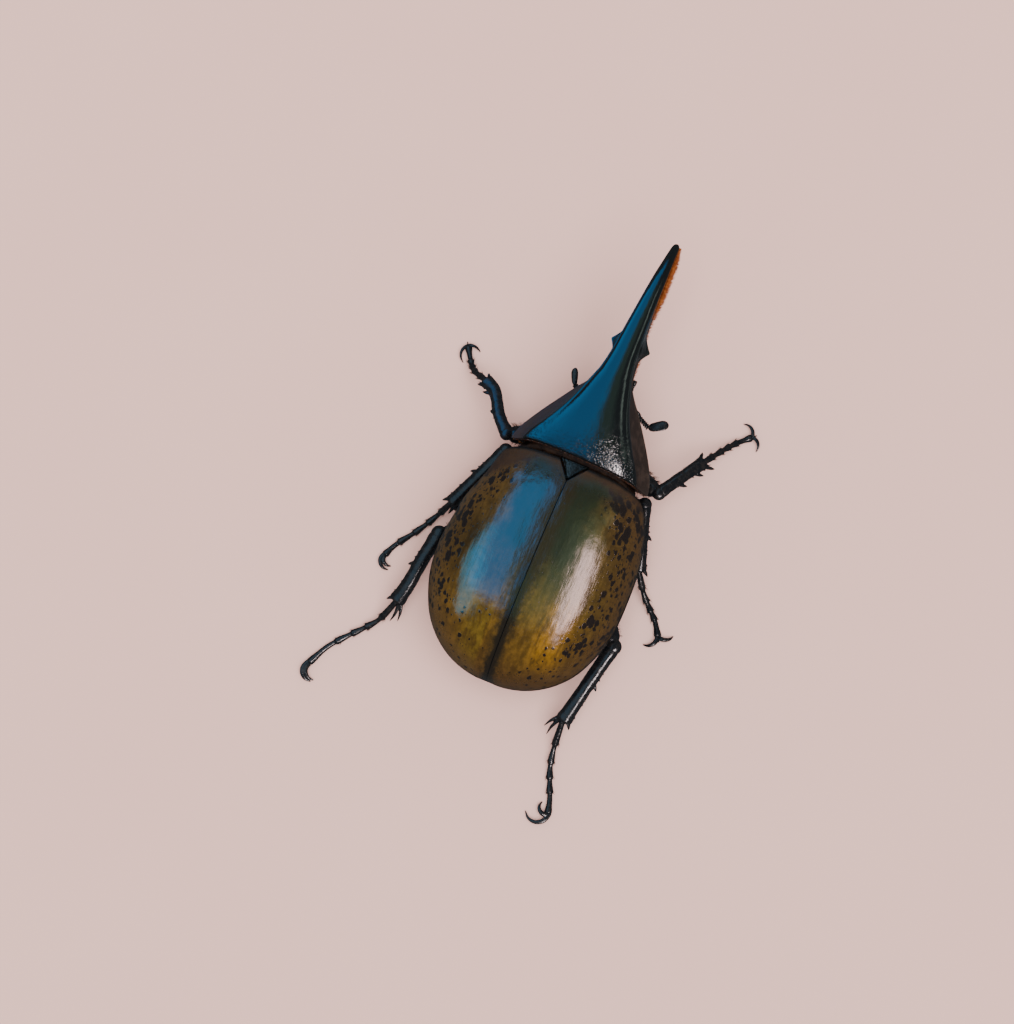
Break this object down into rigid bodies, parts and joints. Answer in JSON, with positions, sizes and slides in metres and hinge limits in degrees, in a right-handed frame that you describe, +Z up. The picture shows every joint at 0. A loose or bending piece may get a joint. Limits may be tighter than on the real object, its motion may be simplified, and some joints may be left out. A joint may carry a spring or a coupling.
{
  "type": "hercules beetle",
  "caption": "Life-size still model of a male hercules beetle standing on its feet, with a long upper horn, a shorter lower horn and closed spotted wing covers.",
  "frame": {"origin": "on the floor, under the middle of the bounding box of the whole beetle", "axes": "-Y is forward along the horns, +X is to the beetle's left, +Z is up from the floor"},
  "size_m": [0.0672, 0.113, 0.0274],
  "materials": {
    "elytra": "glossy olive to golden yellow shell with black spots",
    "shell": "glossy black shell",
    "horn": "glossy black horn",
    "legs": "black with a blue-grey sheen",
    "belly": "dark brown underside plates",
    "eyes": "glossy dark brown eyes"
  },
  "bodies": {
    "root": {"abdomen": "belly", "antenna_left": "legs", "antenna_right": "legs", "coxa_fore_left": "belly", "coxa_fore_right": "belly", "coxa_hind_left": "belly", "coxa_hind_right": "belly", "coxa_middle_left": "belly", "coxa_middle_right": "belly", "elytron_left": "elytra", "elytron_right": "elytra", "eye_left": "eyes", "eye_right": "eyes", "femur_fore_left": "legs", "femur_fore_right": "legs", "femur_hind_left": "legs", "femur_hind_right": "legs", "femur_middle_left": "legs", "femur_middle_right": "legs", "head": "shell", "head_horn": "horn", "hind_thorax": "belly", "mandible_left": "shell", "mandible_right": "shell", "palp_left": "legs", "palp_right": "legs", "pronotum": "shell", "scutellum": "shell", "tarsus_fore_left": "legs", "tarsus_fore_right": "legs", "tarsus_hind_left": "legs", "tarsus_hind_right": "legs", "tarsus_middle_left": "legs", "tarsus_middle_right": "legs", "thoracic_horn": "horn", "tibia_fore_left": "legs", "tibia_fore_right": "legs", "tibia_hind_left": "legs", "tibia_hind_right": "legs", "tibia_middle_left": "legs", "tibia_middle_right": "legs"}
  },
  "joints": []
}
